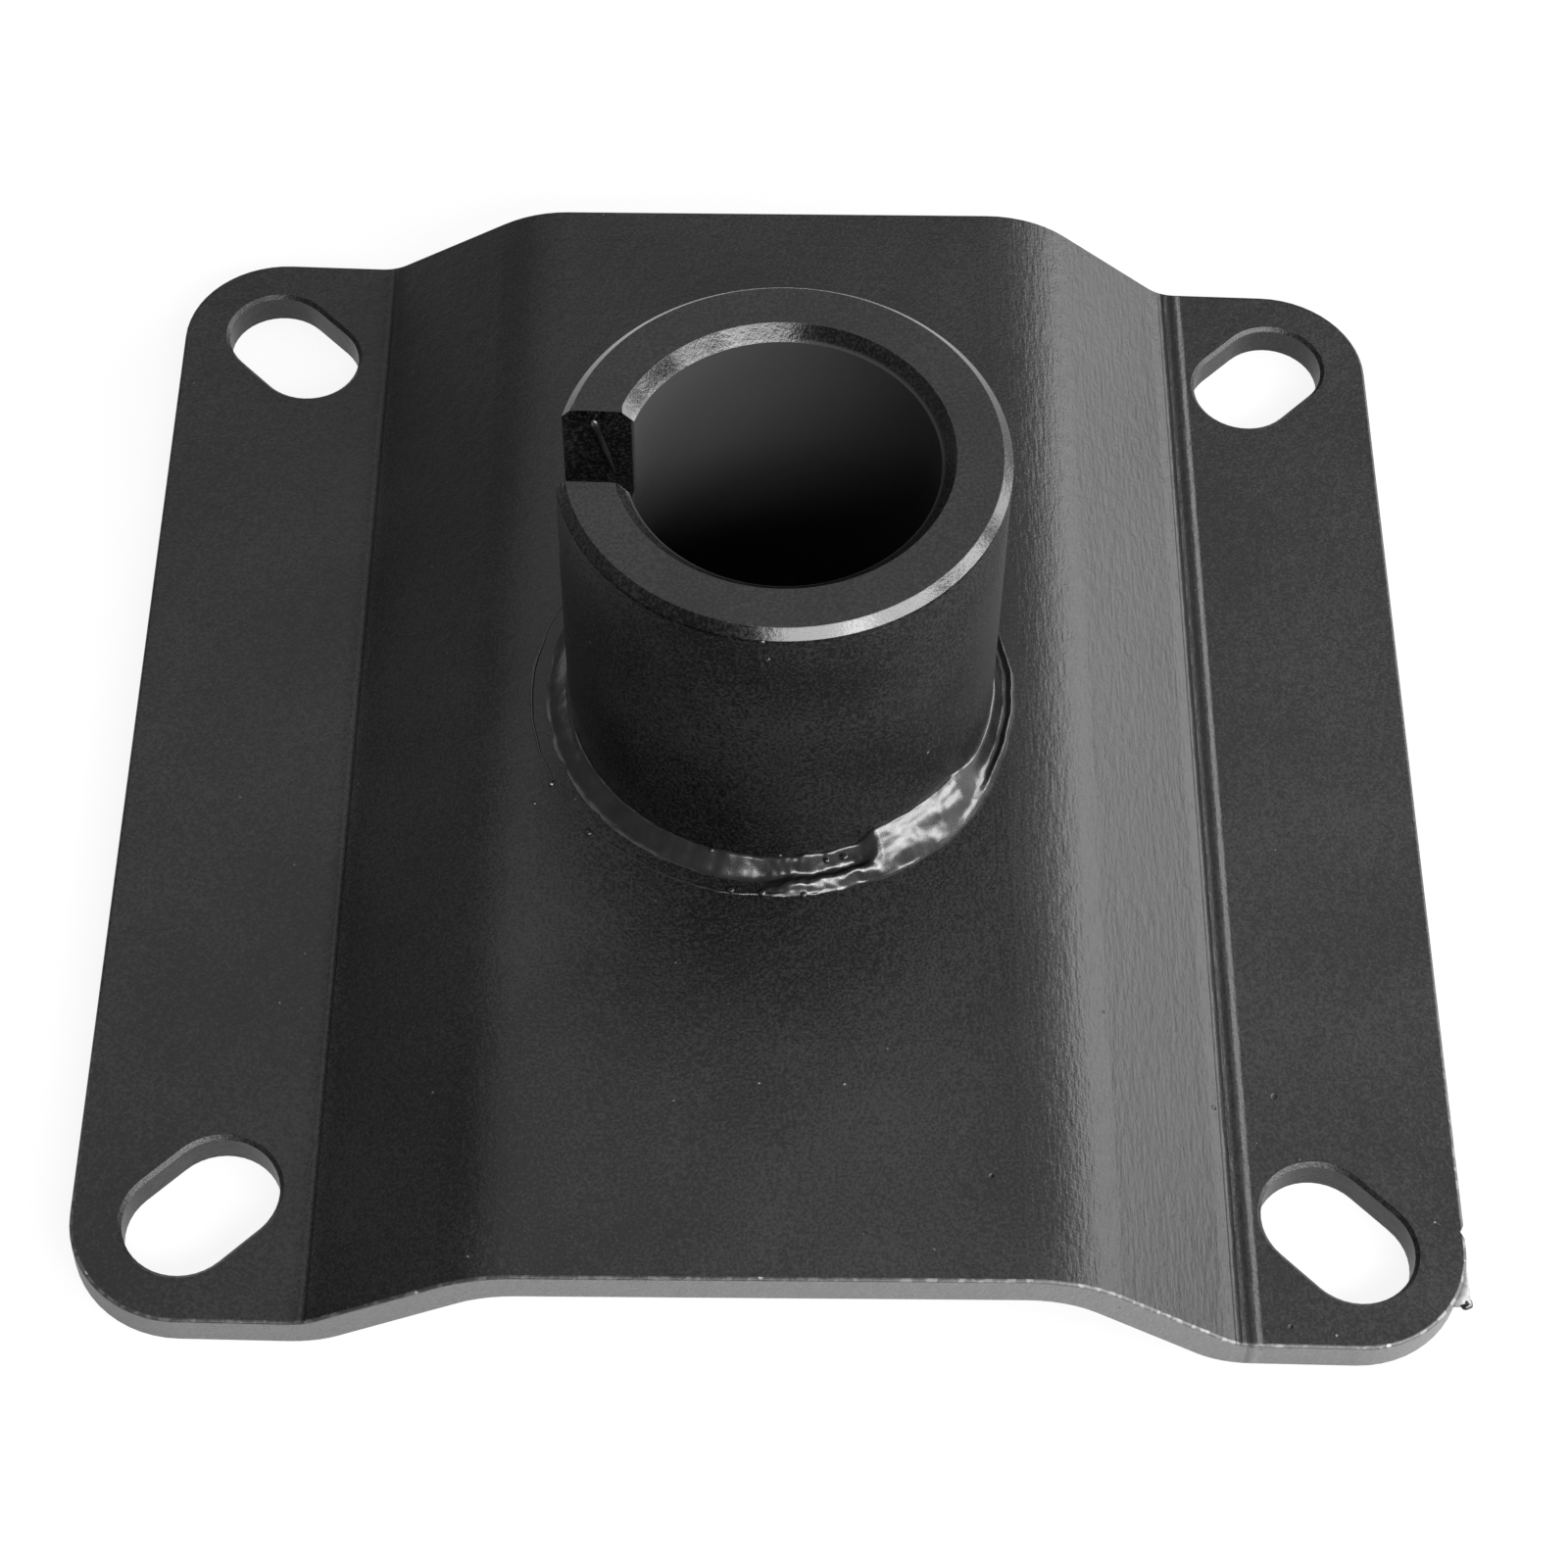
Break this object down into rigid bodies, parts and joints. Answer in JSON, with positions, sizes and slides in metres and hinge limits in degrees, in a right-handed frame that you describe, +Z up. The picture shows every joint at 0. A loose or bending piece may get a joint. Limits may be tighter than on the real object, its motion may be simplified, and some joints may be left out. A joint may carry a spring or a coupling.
{
  "type": "chair base plate",
  "caption": "Folded steel chair base plate with diagonal corner slots and a thick-walled socket tube, notched at its rim, welded to the raised middle.",
  "frame": {"origin": "middle of the plate, on the plane of the flanges' underside", "axes": "+Z up from the flanges, +Y along the folds, +X across the folds with the rim notch on the -X side"},
  "size_m": [0.15, 0.15, 0.0596],
  "materials": {
    "powder_coated_steel": "satin"
  },
  "bodies": {
    "root": {"base_plate": "powder_coated_steel", "hub_tube": "powder_coated_steel", "weld_bead": "powder_coated_steel"}
  },
  "joints": []
}
